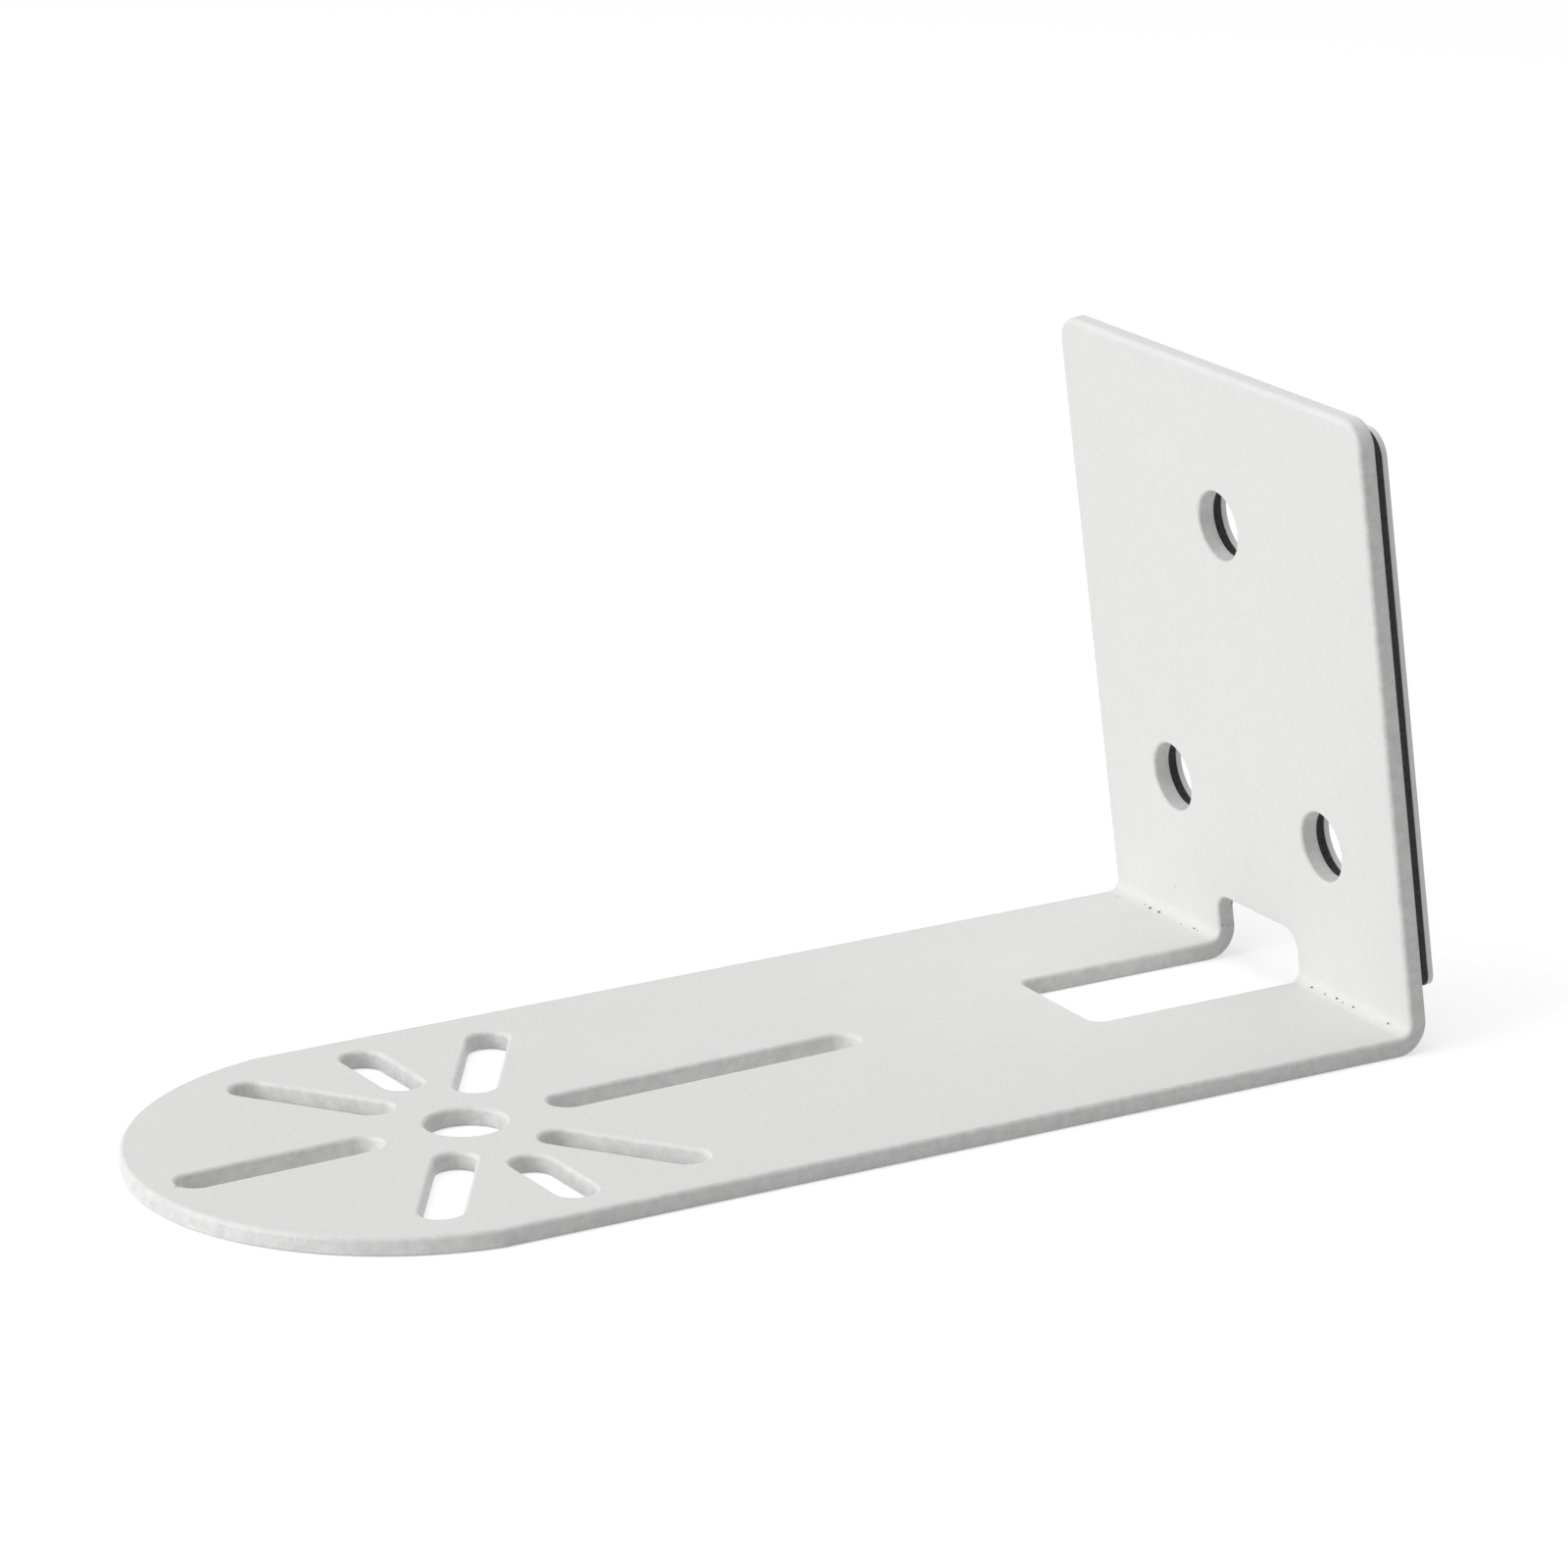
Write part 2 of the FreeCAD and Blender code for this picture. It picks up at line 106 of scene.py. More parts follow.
def foldStrip(flat, normal):
    # Up to bendStart the strip is flat. In the bend the angle grows evenly with s, and a point
    # lies on a circle of radius bendInside + depth. Past bendEnd it goes straight on up the
    # plate. Normals turn by the same angle.
    x, s, depth = flat.T
    turn = np.clip((s - bendStart) / bendLength, 0, 1) * fold - math.pi / 2
    radius = strip["bendInside"] + depth
    past = np.where(s < bendStart, s - bendStart, np.maximum(s - bendEnd, 0))
    y = bendStart + radius * np.cos(turn) - past * np.sin(turn)
    z = strip["gauge"] + strip["bendInside"] + radius * np.sin(turn) + past * np.cos(turn)
    alongY = -normal[:, 1] * np.sin(turn) + normal[:, 2] * np.cos(turn)
    alongZ = normal[:, 1] * np.cos(turn) + normal[:, 2] * np.sin(turn)
    normal = np.stack([normal[:, 0], alongY, alongZ], axis=-1)
    return np.stack([x, y, z], axis=-1), normal / np.linalg.norm(normal, axis=1)[:, None]


def rectangle(half, start, end):
    # The corners of a rectangle across the strip, anticlockwise.
    return [(-half, start), (half, start), (half, end), (-half, end)]


def cornerArcs(corners, radii):
    # One arc for each corner of a polygon, anticlockwise: centre, radius, first angle and turn.
    # It starts radius * tan(half the turn) before its corner.
    corners = np.array(corners, float)
    ahead = np.roll(corners, -1, axis=0) - corners
    ahead /= np.linalg.norm(ahead, axis=1)[:, None]
    arcs = []
    for corner, back, out, radius in zip(corners, np.roll(ahead, 1, axis=0), ahead, radii):
        turn = math.atan2(back[0] * out[1] - back[1] * out[0], back @ out)
        start = corner - back * radius * math.tan(turn / 2)
        centre = start + radius * np.array([-back[1], back[0]])
        arcs.append((centre, radius, math.atan2(*(start - centre)[::-1]), turn))
    return arcs


def joinedLoop(arcs, step, arcStep, rows=None):
    # A closed loop of arcs with straight lines between them. A point on an arc is its centre plus
    # radius times (cos, sin) of its angle, and that direction is the outward normal. Lines along
    # the strip also get a point at each of the bend's rows.
    runs = []
    for centre, radius, first, turn in arcs:
        count = max(3, math.ceil(turn / arcStep), math.ceil(turn * radius / step))
        angle = first + np.linspace(0, turn, count + 1)
        out = np.stack([np.cos(angle), np.sin(angle)], axis=1)
        runs.append((centre + radius * out, out))
    touching, endGap = fineness["touching"], fineness["endGap"]
    places, normals = [], []
    for (arc, out), (following, _) in zip(runs, runs[1:] + runs[:1]):
        gap = following[0] - arc[-1]
        length = np.linalg.norm(gap)
        if length < touching:
            places.append(arc[:-1])
            normals.append(out[:-1])
            continue
        parts = np.linspace(0, 1, math.ceil(length / step) + 1)
        if rows is not None and abs(gap[0]) < touching:
            cross = (rows - arc[-1][1]) / gap[1]
            cross = cross[(cross > endGap) & (cross < 1 - endGap)]
            if len(cross):
                away = np.abs(parts[:, None] - cross[None, :]).min(axis=1)
                parts = parts[away > fineness["rowGap"] * step / length]
                parts = np.sort(np.concatenate([parts, cross]))
        parts = parts[(parts > touching) & (parts < 1 - touching)]
        places += [arc, arc[-1] + parts[:, None] * gap]
        across = [[gap[1] / length, -gap[0] / length]]
        normals += [out, np.repeat(across, len(parts), axis=0)]
    return np.concatenate(places), np.concatenate(normals)


def turned(loop, angle):
    # Places and normals turned about the camera hole: (x cos - s sin, x sin + s cos).
    c, s = math.cos(angle), math.sin(angle)
    spin = np.array([[c, s], [-s, c]])
    return loop[0] @ spin, loop[1] @ spin


def asHole(loop):
    # A hole's loop: the metal is outside it, so its normals point to its inside.
    return loop[0], -loop[1]


def batches(count):
    # The numbers below count, in even lots of one to two batches.
    return np.array_split(np.arange(count), max(1, count // fineness["batch"]))


def inside(points, rings):
    # A point is inside where a line to its right crosses the rings an odd number of times.
    odd = np.zeros(len(points), bool)
    for ring in rings:
        a, b = ring, np.roll(ring, -1, axis=0)
        rise = b[:, 1] - a[:, 1]
        slope = (b - a)[:, 0] / np.where(rise == 0, 1, rise)  # no line crosses a level side
        for part in batches(len(points)):
            p = points[part]
            straddle = (a[None, :, 1] > p[:, None, 1]) != (b[None, :, 1] > p[:, None, 1])
            at = a[None, :, 0] + (p[:, None, 1] - a[None, :, 1]) * slope[None, :]
            odd[part] ^= (np.sum(straddle & (at > p[:, None, 0]), axis=1) % 2).astype(bool)
    return odd


def clearOf(points, rings, gap):
    # True for each point whose distance from the nearest ring point is over the gap.
    edge = np.concatenate(rings)
    clear = np.ones(len(points), bool)
    for part in batches(len(points)):
        away = np.linalg.norm(points[part][:, None, :] - edge[None, :, :], axis=2)
        clear[part] = away.min(axis=1) > gap
    return clear


def innerPoints(start, end, pitch):
    # Points for the faces: a staggered grid of that pitch, and even rows through the bend.
    s = np.arange(start, end, pitch * fineness["rowShare"])
    s = s[(s < bendStart - fineness["bendGap"]) | (s > bendEnd + fineness["bendGap"])]
    grid = np.stack(np.meshgrid(np.arange(-halfWidth, halfWidth, pitch), s), axis=-1)
    grid[1::2, :, 0] += pitch / 2
    across = np.arange(-halfWidth, halfWidth, fineness["bendPitch"])
    bend = np.stack(np.meshgrid(across, bendRows), axis=-1)
    return np.concatenate([grid.reshape(-1, 2), bend.reshape(-1, 2)])


def fillFace(rings, points):
    # Triangles of the flat face between the rings, numbered through the rings' points and then
    # the inner points. Of a constrained Delaunay mesh of them all, those stay whose middle is
    # inside. Each is anticlockwise: its doubled area, a cross product of two sides, is positive.
    edges, start = [], 0
    for ring in rings:
        index = np.arange(len(ring)) + start
        edges.append(np.stack([index, np.roll(index, -1)], axis=1))
        start += len(ring)
    made, _, triangles, origin, _, _ = delaunay_2d_cdt(
        np.concatenate(rings + [points]).tolist(), np.concatenate(edges).tolist(), [],
        0, fineness["merging"], True)
    came = np.array([given[0] if given else -1 for given in origin])
    made, triangles = np.array(made), np.array(triangles)
    triangles = triangles[inside(made[triangles].mean(axis=1), rings)]
    a, b, c = (made[triangles[:, i]] for i in range(3))
    area = (b - a)[:, 0] * (c - a)[:, 1] - (b - a)[:, 1] * (c - a)[:, 0]
    triangles = np.where((area < 0)[:, None], triangles[:, ::-1], triangles)
    return came[triangles[np.abs(area) > fineness["leastArea"]]]


def rimProfile(nearRound, farRound, thick, wallRows, count):
    # The rim's section at each of a loop's points, row by row from the near face to the far one:
    # a quarter circle, the wall and a quarter circle. It gives how far a row lies in from the
    # loop and how deep, and the shares of its normal that point outward and down.
    angle = np.linspace(0, math.pi / 2, fineness["rimRows"])[:, None]
    level = np.linspace(0, 1, wallRows + 2)[1:-1, None]
    near, far = np.broadcast_to(nearRound, count), np.broadcast_to(farRound, count)
    inset = np.concatenate([near * (1 - np.sin(angle)), np.zeros((wallRows, count)),
                            far * (1 - np.cos(angle))])
    deep = np.concatenate([near * (1 - np.cos(angle)), near + level * (thick - far - near),
                           thick - far + far * np.sin(angle)])
    outward = np.concatenate([np.sin(angle[:, 0]), np.ones(wallRows), np.cos(angle[:, 0])])
    down = np.concatenate([-np.cos(angle[:, 0]), np.zeros(wallRows), np.sin(angle[:, 0])])
    return inset, deep, outward, down


def addObject(name, data):
    # A new object at the origin.
    obj = bpy.data.objects.new(name, data)
    bpy.context.scene.collection.objects.link(obj)
    return obj


def foldedPiece(name, flat, normals, faces, wall):
    # The flat points folded and in metres, with their normals. The coating reads two values of
    # each: its place on the flat strip, and how much it belongs to a cut edge.
    place, normal = foldStrip(flat, normals)
    mesh = bpy.data.meshes.new(name)
    mesh.from_pydata((place * mm).tolist(), [], faces)
    mesh.polygons.foreach_set("use_smooth", np.ones(len(mesh.polygons), bool))
    blank = mesh.attributes.new("blank", "FLOAT_VECTOR", "POINT")
    blank.data.foreach_set("vector", flat.ravel())
    cutEdge = mesh.attributes.new("cutEdge", "FLOAT", "POINT")
    cutEdge.data.foreach_set("value", wall)
    mesh.update()
    mesh.normals_split_custom_set_from_vertices(normal.tolist())
    piece = addObject(name, mesh)
    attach(piece, "root")
    print(name, "faces", len(faces))
    return piece


def sheetPiece(name, loops, rounds, top, thick, inner, wallRows=3, wobble=None, rough=None):
    # One layer of sheet: the outline's loop, then the holes'. Each is carried through its rim
    # profile: a row is the loop less its normal times the row's inset, at the row's depth. rounds
    # holds each loop's two radii, as numbers or point by point; wobble moves the wall and rough
    # is how uneven its coating is. Triangles between the loops fill both faces.
    places, normals, faces, wall, rings, nearRows, farRows = [], [], [], [], [], [], []
    total = 0
    for (loop, out), (nearRound, farRound) in zip(loops, rounds):
        count = len(loop)
        inset, deep, outward, down = rimProfile(nearRound, farRound, thick, wallRows, count)
        flat = loop[None, :, :] - out[None, :, :] * inset[..., None]
        if wobble is not None:
            push = wobble(flat[..., 0], flat[..., 1], deep / thick) * outward[:, None]
            flat = flat + out[None, :, :] * push[..., None]
        places.append(np.concatenate([flat, (top + deep)[..., None]], axis=2).reshape(-1, 3))
        lean = np.concatenate([out[None, :, :] * outward[:, None, None],
                               np.repeat(down[:, None, None], count, axis=1)], axis=2)
        normals.append(lean.reshape(-1, 3))
        share = np.ones(count) if rough is None else rough(loop[:, 1])
        wall.append((outward[:, None] * share).ravel())
        # a quad joins two neighbours to the next row, and is turned over on the outline
        grid = np.arange(inset.size).reshape(inset.shape) + total
        after = np.roll(grid, -1, axis=1)
        quads = np.stack([grid[:-1], after[:-1], after[1:], grid[1:]], axis=-1).reshape(-1, 4)
        isOutline = not rings
        faces += (quads[:, ::-1] if isOutline else quads).tolist()
        rings.append(flat[0])
        nearRows.append(grid[0])
        farRows.append(grid[-1])
        total += inset.size
    points = inner[inside(inner, rings)]
    points = points[clearOf(points, rings, fineness["edgeGap"])]
    extra = len(points)
    for depth, side in ((top, -1.0), (top + thick, 1.0)):
        places.append(np.column_stack([points, np.full(extra, depth)]))
        normals.append(np.column_stack([np.zeros((extra, 2)), np.full(extra, side)]))
        wall.append(np.zeros(extra))
    triangles = fillFace(rings, points)
    near = np.concatenate(nearRows + [np.arange(extra) + total])
    far = np.concatenate(farRows + [np.arange(extra) + total + extra])
    faces += near[triangles].tolist() + far[triangles[:, ::-1]].tolist()
    return foldedPiece(name, np.concatenate(places), np.concatenate(normals), faces,
                       np.concatenate(wall))


# The folded strip with its holes
holes = {
    "cameraHole": 6.6,
    "slotWidth": 3.4,
    "starTurn": 1.8,
    "slantAngle": 57.2,
    "wallSlot": (7.7, 36.5),  # where each slot starts and ends, from the camera hole's middle
    "tipSlot": (7.6, 25.5),
    "crossSlot": (9.5, 20.3),
    "slantSlot": (7.0, 21.9),
    "screwHole": 6.0,
    "upperRise": 38.9,
    "lowerRise": 13.5,
    "lowerPitch": 23.7,
    "cableWidth": 12.6,
    "cableReach": 20.0,
    "cableRise": 4.3,
    "cableCornerArm": 1.2,
    "cableCornerPlate": 1.8,
    "armRound": (0.38, 0.2),  # how much the coating rounds the near and the far rim
    "plateRound": (0.3, 0.15),
    "roundPoints": 72,
    "slotSteps": (0.6, 0.11),  # from point to point, along lines and round arcs
    "cableSteps": (0.8, 0.1),
}

tipEnd, headEnd = -strip["holeToTip"], riseToStrip(strip["plateHeight"])
tipCentre = tipEnd + strip["tipRadius"]


def stripArcs():
    # The round tip is an arc a little wider than the strip. Between it and each side lies a
    # shoulder arc, whose centre is one shoulder radius in from both. The plate's two corners
    # are the last of a rectangle's four.
    q, wide = strip["tipShoulder"], strip["tipRadius"]
    dip = math.sqrt((wide - q) ** 2 - (halfWidth - q) ** 2)
    lean = math.atan2(dip, halfWidth - q)
    tip = ((0, tipCentre), wide, lean - math.pi, math.pi - 2 * lean)
    rightShoulder = ((halfWidth - q, tipCentre - dip), q, -lean, lean)
    leftShoulder = ((q - halfWidth, tipCentre - dip), q, math.pi, lean)
    corners = cornerArcs(rectangle(halfWidth, 0, headEnd), [strip["plateCorner"]] * 4)[2:]
    return [tip, rightShoulder] + corners + [leftShoulder]


def cableArcs():
    # A rectangle through the bend, with its own corner radius at each end.
    start, end = strip["holeToBend"] - holes["cableReach"], riseToStrip(holes["cableRise"])
    radii = [holes["cableCornerArm"]] * 2 + [holes["cableCornerPlate"]] * 2
    return cornerArcs(rectangle(holes["cableWidth"] / 2, start, end), radii)


def roundHole(diameter, x=0.0, s=0.0):
    # Its middle plus half the diameter times (cos, sin) of even angles.
    angle = np.linspace(0, 2 * math.pi, holes["roundPoints"], endpoint=False)
    out = np.stack([np.cos(angle), np.sin(angle)], axis=1)
    return np.array([x, s]) + diameter / 2 * out, -out


def starSlot(reach, degrees):
    # A slot on a radius, with ends of half its width, turned from straight across.
    near, far = reach
    r = holes["slotWidth"] / 2
    ends = cornerArcs([(near, -r), (far, -r), (far, r), (near, r)], [r] * 4)
    turn = math.radians(degrees + holes["starTurn"])
    return asHole(turned(joinedLoop(ends, *holes["slotSteps"]), turn))


def screwHoles(diameter):
    # One upper hole in the middle, and two lower ones half their pitch to each side.
    upper, lower = riseToStrip(holes["upperRise"]), riseToStrip(holes["lowerRise"])
    side = holes["lowerPitch"] / 2
    return [roundHole(diameter, x, s) for x, s in ((0, upper), (side, lower), (-side, lower))]


def outlineRound(s):
    # The sides' rounding, plus what the tip's has more, which grows in towards the tip, plus
    # what the plate's head has more, which grows in towards the head.
    towardTip = np.clip((tipCentre - s) / (strip["tipRadius"] * strip["tipBlend"]), 0, 1)
    towardHead = np.clip((s - headEnd + strip["headBlend"]) / strip["headBlend"], 0, 1)
    return (strip["sideRound"] + (strip["tipRound"] - strip["sideRound"]) * towardTip
            + (strip["headRound"] - strip["sideRound"]) * towardHead)


def cableRound(s):
    # The cable slot's rims go from the arm's rounding to the plate's, evenly through the bend.
    share = np.clip((s - bendStart) / bendLength, 0, 1)
    both = zip(holes["armRound"], holes["plateRound"])
    return tuple(arm + (plate - arm) * share for arm, plate in both)


def unevenness(s):
    # One on every cut edge, falling towards the plate's head, where the coating is smooth.
    towardHead = np.clip((s - headEnd + strip["headSmooth"]) / strip["headSmooth"], 0, 1)
    return 1 - (1 - strip["headUneven"]) * towardHead


outline = joinedLoop(stripArcs(), strip["step"], strip["arcStep"], bendRows)
cable = asHole(joinedLoop(cableArcs(), *holes["cableSteps"], bendRows))
slant = holes["slantAngle"]
star = [starSlot(holes[kind], degrees) for kind, degrees in [
    ("crossSlot", 0), ("slantSlot", 90 - slant), ("wallSlot", 90), ("slantSlot", 90 + slant),
    ("crossSlot", 180), ("slantSlot", 270 - slant), ("tipSlot", 270), ("slantSlot", 270 + slant)]]
armRims = [roundHole(holes["cameraHole"])] + star
plateRims = screwHoles(holes["screwHole"])
stripRounds = ([(outlineRound(outline[0][:, 1]), strip["backRound"]), cableRound(cable[0][:, 1])]
               + [holes["armRound"]] * len(armRims) + [holes["plateRound"]] * len(plateRims))
bracketPiece = sheetPiece("coatedBracket", [outline, cable] + armRims + plateRims, stripRounds,
                          0.0, strip["gauge"], innerPoints(tipEnd, headEnd, strip["pitch"]),
                          rough=unevenness)

# The foam pad and its liner, die-cut to the plate's outline
pad = {
    "thick": 0.9,
    "inset": 0.55,
    "headGap": 1.3,
    "headCorner": 2.2,
    "footRise": 3.4,
    "footCorner": 1.2,
    "holeMargin": 0.3,
    "edgeRound": (0.1, 0.1),
    "cellWobble": 0.02,
    # how fast each of the cut cells' waves runs across, along and down
    "cellWaves": [(9.1, 7.3, 5.0), (-13.9, 17.7, 9.0), (4.1, 4.1, 0.0)],
    "wallRows": 5,
    "step": 0.35,
    "arcStep": 0.12,
    "pitch": 1.6,
}
liner = {
    "thick": 0.5,
    "edgeRound": (0.06, 0.06),
    "step": 0.8,
}


def padLoops(step):
    # The plate's rectangle less its margins, with round corners, and the screw holes, each a
    # margin wider all round.
    foot = riseToStrip(pad["footRise"])
    head = riseToStrip(strip["plateHeight"] - pad["headGap"])
    radii = [pad["footCorner"]] * 2 + [pad["headCorner"]] * 2
    arcs = cornerArcs(rectangle(halfWidth - pad["inset"], foot, head), radii)
    around = joinedLoop(arcs, step, pad["arcStep"])
    return [around] + screwHoles(holes["screwHole"] + 2 * pad["holeMargin"])


def foamEdge(x, s, deep):
    # Cut foam has small uneven cells: the mean of three sines of unlike pitch, less one, so that
    # all of them go inward.
    cells = sum(np.sin(x * across + s * along + deep * down)
                for across, along, down in pad["cellWaves"])
    return pad["cellWobble"] * cells / len(pad["cellWaves"]) - pad["cellWobble"]


padPoints = innerPoints(riseToStrip(pad["footRise"]), headEnd, pad["pitch"])
foamLoops, linerLoops = padLoops(pad["step"]), padLoops(liner["step"])
foamPiece = sheetPiece("foamPad", foamLoops, [pad["edgeRound"]] * len(foamLoops),
                       strip["gauge"], pad["thick"], padPoints, pad["wallRows"], foamEdge)
linerPiece = sheetPiece("releaseLiner", linerLoops, [liner["edgeRound"]] * len(linerLoops),
                        strip["gauge"] + pad["thick"], liner["thick"], padPoints)
print("pieces built")


def nodeMaterial(name, **values):
    # A material with one Principled shader; values go straight onto its sockets.
    material = bpy.data.materials.new(name)
    material.use_nodes = True
    tree = material.node_tree
    shader = tree.nodes["Principled BSDF"]
    for socket, value in values.items():
        shader.inputs[socket.replace("_", " ")].default_value = value
    return material, tree, shader


def add(tree, kind, inputs=None, **settings):
    # A node with its settings, and its inputs given as values or as sockets to link.
    made = tree.nodes.new(kind)
    for key, value in settings.items():
        setattr(made, key, value)
    for key, value in (inputs or {}).items():
        if isinstance(value, bpy.types.NodeSocket):
            tree.links.new(value, made.inputs[key])
        else:
            made.inputs[key].default_value = value
    return made


def maths(tree, operation, a, b):
    # One number from a and b.
    return add(tree, "ShaderNodeMath", {0: a, 1: b}, operation=operation).outputs[0]


def vectorMaths(tree, operation, a, b):
    # One vector from a and b.
    made = add(tree, "ShaderNodeVectorMath", {0: a, 1: b}, operation=operation)
    return made.outputs["Vector"]


def scaled(tree, vector, factor):
    # The vector times the factor.
    made = add(tree, "ShaderNodeVectorMath", {0: vector, "Scale": factor}, operation="SCALE")
    return made.outputs["Vector"]


def ramp(tree, value, low, high, outLow, outHigh):
    # A smooth step from outLow, up to where the value is low, to outHigh, from where it is high.
    ends = {"Value": value, "From Min": low, "From Max": high, "To Min": outLow, "To Max": outHigh}
    made = add(tree, "ShaderNodeMapRange", ends, interpolation_type="SMOOTHSTEP")
    return made.outputs["Result"]


def noise(tree, vector, scale, detail, roughness):
    # Smooth noise of scale cells to the metre, plus finer octaves, each weaker by roughness.
    inputs = {"Vector": vector, "Scale": scale, "Detail": detail, "Roughness": roughness}
    return add(tree, "ShaderNodeTexNoise", inputs).outputs["Fac"]


def colourAndBump(tree, shader, colour, bump, height):
    # The worked-out colour, and a bump of that strength and distance from the height.
    tree.links.new(colour, shader.inputs["Base Color"])
    strength, distance = bump
    inputs = {"Strength": strength, "Distance": distance, "Height": height}
    normal = add(tree, "ShaderNodeBump", inputs).outputs["Normal"]
    tree.links.new(normal, shader.inputs["Normal"])


coat = {
    "colour": (0.84, 0.84, 0.835),
    "rough": 0.46,
    "roughLess": 0.06,
    "roughMore": 0.08,
    "peel": (1250, 2.0, 0.5),  # each noise's scale, detail and roughness
    "grain": (2600, 3.0, 0.6),
    "cloud": (140, 2.0, 0.5),
    "mottle": (850, 3.0, 0.7),
    "toneRange": (0.3, 0.7),  # between these values of a noise the tone changes, by so much
    "cloudTone": (-0.005, 0.005),
    "grainTone": (-0.018, 0.018),
    "mottleTone": (-0.09, 0.05),
    "roughRange": (0.2, 0.8),
    "peelHeight": 0.9,
    "grainHeight": 0.55,
    "mottleHeight": 1.3,
    "pinholeDepth": 2.0,
    "bump": (0.5, 0.00008),
    # the marks' dark colour, for the pinholes and for a spot of painted shade
    "pinholeAndShadeColour": (0.08, 0.08, 0.08),
    "markAndShadeEdge": (0.45, 1.15),  # where it starts to fade and is gone, as shares of its radius
    "faintness": 0.3,
    # across, along, depth and radius of each small gap in the coating; the last is no gap but
    # painted shade
    "pinholesAndPaintedShade": [(-17.8, 74.8, 0, 0.13), (-16.85, 74.66, 0, 0.25), (-15.4, 74.72, 0, 0.23),
                 (-11.6, 74.58, 0, 0.1), (-9.75, 74.94, 0, 0.16), (-9.2, 74.86, 0, 0.09),
                 (9.05, 75.04, 0, 0.2), (11.1, 75.02, 0, 0.14), (12.8, 75.26, 0, 0.2),
                 (13.8, 75.08, 0, 0.12), (15.35, 75.22, 0, 0.18), (20.55, 75.36, 0, 0.18),
                 # painted shade: the cable slot's wall darkened where it meets its upper corner
                 (-6.2, 78.8, 1.5, 0.17)],
    "faint": [(-21.3, 73.64, 0, 0.16), (-13.2, 78.74, 0, 0.14), (1.45, -25.75, 0, 0.3),
              (-6.3, 77.0, 0.4, 0.14), (-6.3, 76.85, 0.9, 0.14)],
}


def marksAndShadeMask(tree, blank):
    # The greatest of all marks' strengths, each of which falls off smoothly with the distance
    # from its middle on the flat strip. The marks are pinholes, faint marks and one spot of
    # painted shade in the cable slot's upper corner.
    marks = [(*mark, 1.0) for mark in coat["pinholesAndPaintedShade"]]
    marks += [(*mark, coat["faintness"]) for mark in coat["faint"]]
    fade, gone = coat["markAndShadeEdge"]
    mask = 0.0
    for x, s, deep, size, strength in marks:
        away = add(tree, "ShaderNodeVectorMath", {0: blank, 1: (x, s, deep)}, operation="DISTANCE")
        spot = ramp(tree, away.outputs["Value"], size * fade, size * gone, strength, 0.0)
        mask = maths(tree, "MAXIMUM", mask, spot)
    return mask


def powderCoat():
    # Colour: the coat's times one plus clouds and grain, plus mottle on cut edges, then mixed
    # towards the marks' dark colour by their mask: pinholes, faint marks and one spot of painted
    # shade in the cable slot's upper corner. Height: peel, grain and the cut edges' mottle, less
    # the mask.
    material, tree, shader = nodeMaterial("powderCoat", Base_Color=(*coat["colour"], 1),
                                          Roughness=coat["rough"])
    place = add(tree, "ShaderNodeTexCoord").outputs["Object"]
    blank = add(tree, "ShaderNodeAttribute", attribute_name="blank").outputs["Vector"]
    edge = add(tree, "ShaderNodeAttribute", attribute_name="cutEdge").outputs["Fac"]
    peel, grain, cloud, mottle = [noise(tree, place, *coat[kind])
                                  for kind in ("peel", "grain", "cloud", "mottle")]
    pinholesAndPaintedShade = marksAndShadeMask(tree, blank)

    tone = maths(tree, "ADD", ramp(tree, cloud, *coat["toneRange"], *coat["cloudTone"]),
                 ramp(tree, grain, *coat["toneRange"], *coat["grainTone"]))
    edgeTone = ramp(tree, mottle, *coat["toneRange"], *coat["mottleTone"])
    tone = maths(tree, "ADD", tone, maths(tree, "MULTIPLY", edge, edgeTone))
    colour = scaled(tree, coat["colour"], maths(tree, "ADD", tone, 1.0))
    # towards the dark colour by the mask: pinholes, faint marks and a spot of painted shade
    darker = vectorMaths(tree, "SUBTRACT", coat["pinholeAndShadeColour"], colour)
    colour = vectorMaths(tree, "ADD", colour, scaled(tree, darker, pinholesAndPaintedShade))

    smoothest, roughest = coat["rough"] - coat["roughLess"], coat["rough"] + coat["roughMore"]
    rough = ramp(tree, grain, *coat["roughRange"], smoothest, roughest)
    tree.links.new(rough, shader.inputs["Roughness"])

    height = maths(tree, "ADD", maths(tree, "MULTIPLY", peel, coat["peelHeight"]),
                   maths(tree, "MULTIPLY", grain, coat["grainHeight"]))
    edgeHeight = maths(tree, "MULTIPLY", maths(tree, "MULTIPLY", mottle, edge), coat["mottleHeight"])
    height = maths(tree, "ADD", height, edgeHeight)
    pits = maths(tree, "MULTIPLY", pinholesAndPaintedShade, coat["pinholeDepth"])
    colourAndBump(tree, shader, colour, coat["bump"], maths(tree, "SUBTRACT", height, pits))
    return material


foam = {
    "colour": (0.05, 0.05, 0.052),
    "rough": 0.9,
    "specular": 0.3,
    "cells": 4200.0,  # to the metre
    "cellRange": (0.0, 0.7),
    "cellTone": (0.55, 1.5),
    "bump": (0.6, 0.00008),
}


def foamMaterial():
    # Closed cells: the colour and the height both grow with the distance from a cell's middle.
    material, tree, shader = nodeMaterial("closedCellFoam", Base_Color=(*foam["colour"], 1),
                                          Roughness=foam["rough"],
                                          Specular_IOR_Level=foam["specular"])
    place = add(tree, "ShaderNodeTexCoord").outputs["Object"]
    cells = add(tree, "ShaderNodeTexVoronoi", {"Vector": place, "Scale": foam["cells"]})
    away = cells.outputs["Distance"]
    tone = ramp(tree, away, *foam["cellRange"], *foam["cellTone"])
    colourAndBump(tree, shader, scaled(tree, foam["colour"], tone), foam["bump"], away)
    return material


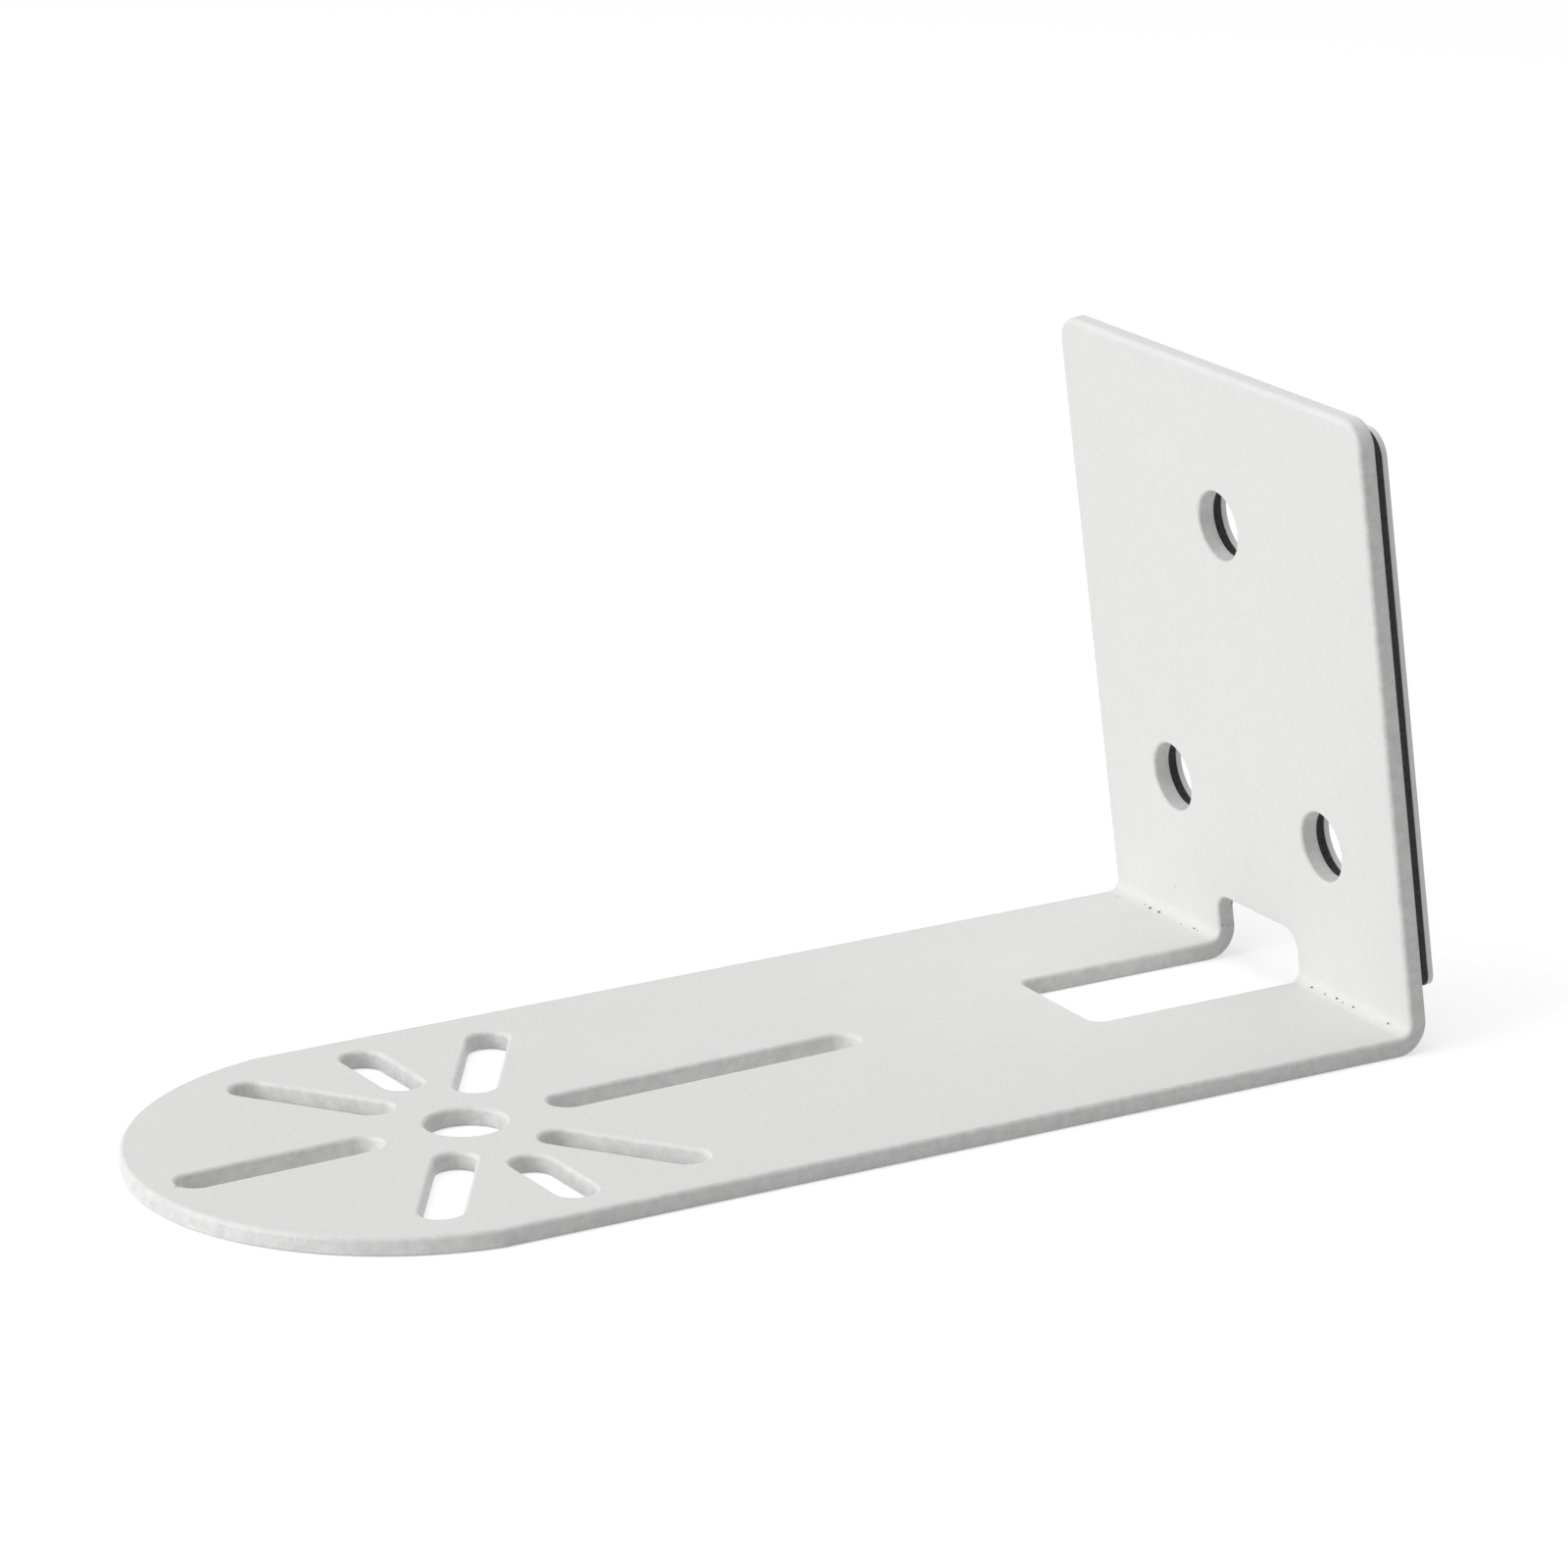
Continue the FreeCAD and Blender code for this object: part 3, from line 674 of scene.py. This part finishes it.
paper = {
    "colour": (0.93, 0.93, 0.92),
    "rough": 0.38,
    "silicone": 0.15,
    "siliconeRough": 0.25,
    "fibre": (700, 4.0, 0.6),  # the noise's scale, detail and roughness
    "fibreRange": (0.25, 0.75),
    "fibreTone": (0.965, 1.02),
    "bump": (0.2, 0.00004),
}


def linerMaterial():
    # Siliconed paper: the colour times a faint noise, which is its height too.
    material, tree, shader = nodeMaterial("siliconedPaper", Base_Color=(*paper["colour"], 1),
                                          Roughness=paper["rough"],
                                          Coat_Weight=paper["silicone"],
                                          Coat_Roughness=paper["siliconeRough"])
    place = add(tree, "ShaderNodeTexCoord").outputs["Object"]
    fibre = noise(tree, place, *paper["fibre"])
    tone = ramp(tree, fibre, *paper["fibreRange"], *paper["fibreTone"])
    colourAndBump(tree, shader, scaled(tree, paper["colour"], tone), paper["bump"], fibre)
    return material


for piece, node, slot, material in [
        (bracketPiece, "bracket", "coated_steel", powderCoat()),
        (foamPiece, "foam_pad", "foam", foamMaterial()),
        (linerPiece, "release_liner", "liner", linerMaterial())]:
    piece.data.materials.append(material)
    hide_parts(node)
print("materials ready")

# Stage: a pale floor under the arm, a white surround, soft lamps
studio = {
    "floorHalf": 4.0,
    "floorDrop": 0.00003,
    "floorTone": 0.7,
    "floorGlow": 0.55,
    "front": 0.2,  # how strongly the surround lights the part from each side
    "behind": 0.14,
    "left": 0.44,
    "above": 0.41,
    "aim": (0, 0.03, 0.01),  # what both lamps face
    "keyLamp": {"place": (0, -0.8, 0.2), "size": 0.7, "watts": 4.25},
    "topLamp": {"place": (-0.05, -0.05, 0.8), "size": 0.7, "watts": 1.7},
}


def cameraSeen(tree):
    # One where the camera, a reflection or a see-through surface looks straight at it.
    rays = add(tree, "ShaderNodeLightPath").outputs
    seen = maths(tree, "MAXIMUM", rays["Is Camera Ray"], rays["Is Glossy Ray"])
    return maths(tree, "MAXIMUM", seen, rays["Is Transmission Ray"])


def makeFloor():
    # A square just below the part. It shows the light that it scatters, plus a glow that only
    # the camera, reflections and see-through surfaces get, so it is white but for a soft shadow.
    half, tone = studio["floorHalf"], studio["floorTone"]
    corners = [(x, y, -studio["floorDrop"]) for x, y in rectangle(half, -half, half)]
    mesh = bpy.data.meshes.new("floor")
    mesh.from_pydata(corners, [], [(0, 1, 2, 3)])
    material = bpy.data.materials.new("paleFloor")
    material.use_nodes = True
    tree = material.node_tree
    tree.nodes.clear()
    plain = add(tree, "ShaderNodeBsdfDiffuse", {"Color": (tone, tone, tone, 1)})
    strength = maths(tree, "MULTIPLY", cameraSeen(tree), studio["floorGlow"])
    glow = add(tree, "ShaderNodeEmission", {"Strength": strength})
    both = add(tree, "ShaderNodeAddShader", {0: plain.outputs[0], 1: glow.outputs[0]})
    add(tree, "ShaderNodeOutputMaterial", {"Surface": both.outputs[0]})
    mesh.materials.append(material)
    addObject("floor", mesh)


def makeSurround():
    # Its light from a direction: the sum over four sides of the side's strength times the cosine
    # of the angle to it, where that is positive. Seen directly, it is white.
    world = bpy.data.worlds.new("surround")
    bpy.context.scene.world = world
    world.use_nodes = True
    tree = world.node_tree
    background = tree.nodes["Background"]
    background.inputs["Color"].default_value = (1, 1, 1, 1)
    place = add(tree, "ShaderNodeTexCoord").outputs["Object"]
    toward = add(tree, "ShaderNodeSeparateXYZ", {0: place}).outputs
    light = 0.0
    for axis, sign, side in (("Y", -1, "front"), ("Y", 1, "behind"), ("X", -1, "left"),
                             ("Z", 1, "above")):
        lobe = maths(tree, "MAXIMUM", maths(tree, "MULTIPLY", toward[axis], sign), 0.0)
        light = maths(tree, "ADD", maths(tree, "MULTIPLY", lobe, studio[side]), light)
    seen = cameraSeen(tree)
    light = maths(tree, "MULTIPLY", light, maths(tree, "SUBTRACT", 1.0, seen))
    tree.links.new(maths(tree, "ADD", seen, light), background.inputs["Strength"])


def makeLamp(name, lamp):
    # A disc of light at its place, turned towards the aim.
    data = bpy.data.lights.new(name, "AREA")
    data.shape = "DISK"
    data.size = lamp["size"]
    data.energy = lamp["watts"]
    toAim = Vector(studio["aim"]) - Vector(lamp["place"])
    obj = addObject(name, data)
    obj.location = lamp["place"]
    obj.rotation_euler = toAim.to_track_quat("-Z", "Y").to_euler()


makeFloor()
makeSurround()
for name in ("keyLamp", "topLamp"):
    makeLamp(name, studio[name])

# The photograph's viewpoint, from the fit of its edges
shot = {
    "place": (0.473145, -0.21939, 0.189449),
    "turn": (72.88836, 1.51192, 61.76899),  # degrees about x, y and z
    "lens": 158.3267,
    "sensor": 36,
}
cameraData = bpy.data.cameras.new("photoCamera")
cameraData.lens = shot["lens"]
cameraData.sensor_width = shot["sensor"]
camera = addObject("photoCamera", cameraData)
camera.location = shot["place"]
camera.rotation_euler = [math.radians(angle) for angle in shot["turn"]]
bpy.context.scene.camera = camera
bpy.context.scene.view_settings.view_transform = "Standard"

print("scene ready")
